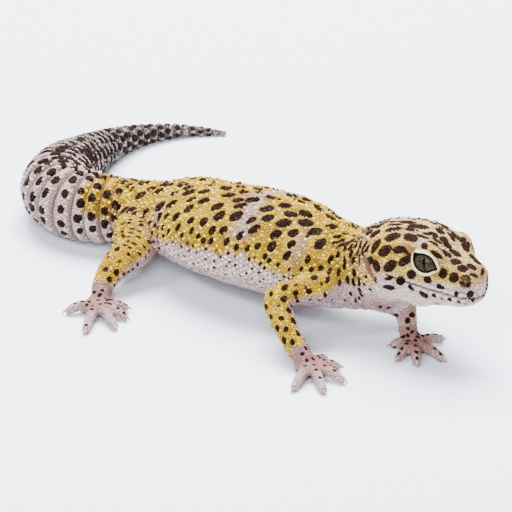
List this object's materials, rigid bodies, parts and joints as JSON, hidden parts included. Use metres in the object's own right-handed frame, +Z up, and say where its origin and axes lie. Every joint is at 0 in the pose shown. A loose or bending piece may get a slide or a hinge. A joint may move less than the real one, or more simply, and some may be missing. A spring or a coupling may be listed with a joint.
{
  "type": "leopard gecko",
  "caption": "Leopard gecko standing on all fours with its thick tail curled round, as a still life-size animal model.",
  "frame": {"origin": "the middle of the model's box, on the floor it stands on", "axes": "+X along the trunk towards the head, +Y to the gecko's left, +Z up"},
  "size_m": [0.1506, 0.1174, 0.0321],
  "materials": {
    "skin_back": "matt granular skin, mustard yellow with dark spots",
    "skin_head": "fine granular skin, cream yellow with dark brown spots",
    "skin_underside": "smooth pale skin",
    "skin_tail": "ringed skin, pinkish grey with black spots",
    "skin_foot": "thin pink skin",
    "eye": "wet, clear cornea over a marbled grey iris",
    "claw": "smooth horn"
  },
  "bodies": {
    "root": {"head": "skin_head", "lower_jaw": "skin_underside", "neck": "skin_back", "trunk": "skin_back", "hips": "skin_back", "tail_base": "skin_tail", "tail_middle": "skin_tail", "tail_tip": "skin_tail", "eye_right": "eye", "eye_left": "eye", "front_right_upper": "skin_back", "front_right_lower": "skin_back", "front_right_foot": "skin_foot", "front_right_claw_1": "claw", "front_right_claw_2": "claw", "front_right_claw_3": "claw", "front_right_claw_4": "claw", "front_right_claw_5": "claw", "front_left_upper": "skin_back", "front_left_lower": "skin_back", "front_left_foot": "skin_foot", "front_left_claw_1": "claw", "front_left_claw_2": "claw", "front_left_claw_3": "claw", "front_left_claw_4": "claw", "front_left_claw_5": "claw", "hind_right_upper": "skin_back", "hind_right_lower": "skin_back", "hind_right_foot": "skin_foot", "hind_right_claw_1": "claw", "hind_right_claw_2": "claw", "hind_right_claw_3": "claw", "hind_right_claw_4": "claw", "hind_right_claw_5": "claw", "hind_left_upper": "skin_back", "hind_left_lower": "skin_back", "hind_left_foot": "skin_foot", "hind_left_claw_1": "claw", "hind_left_claw_2": "claw", "hind_left_claw_3": "claw", "hind_left_claw_4": "claw", "hind_left_claw_5": "claw"}
  },
  "joints": []
}
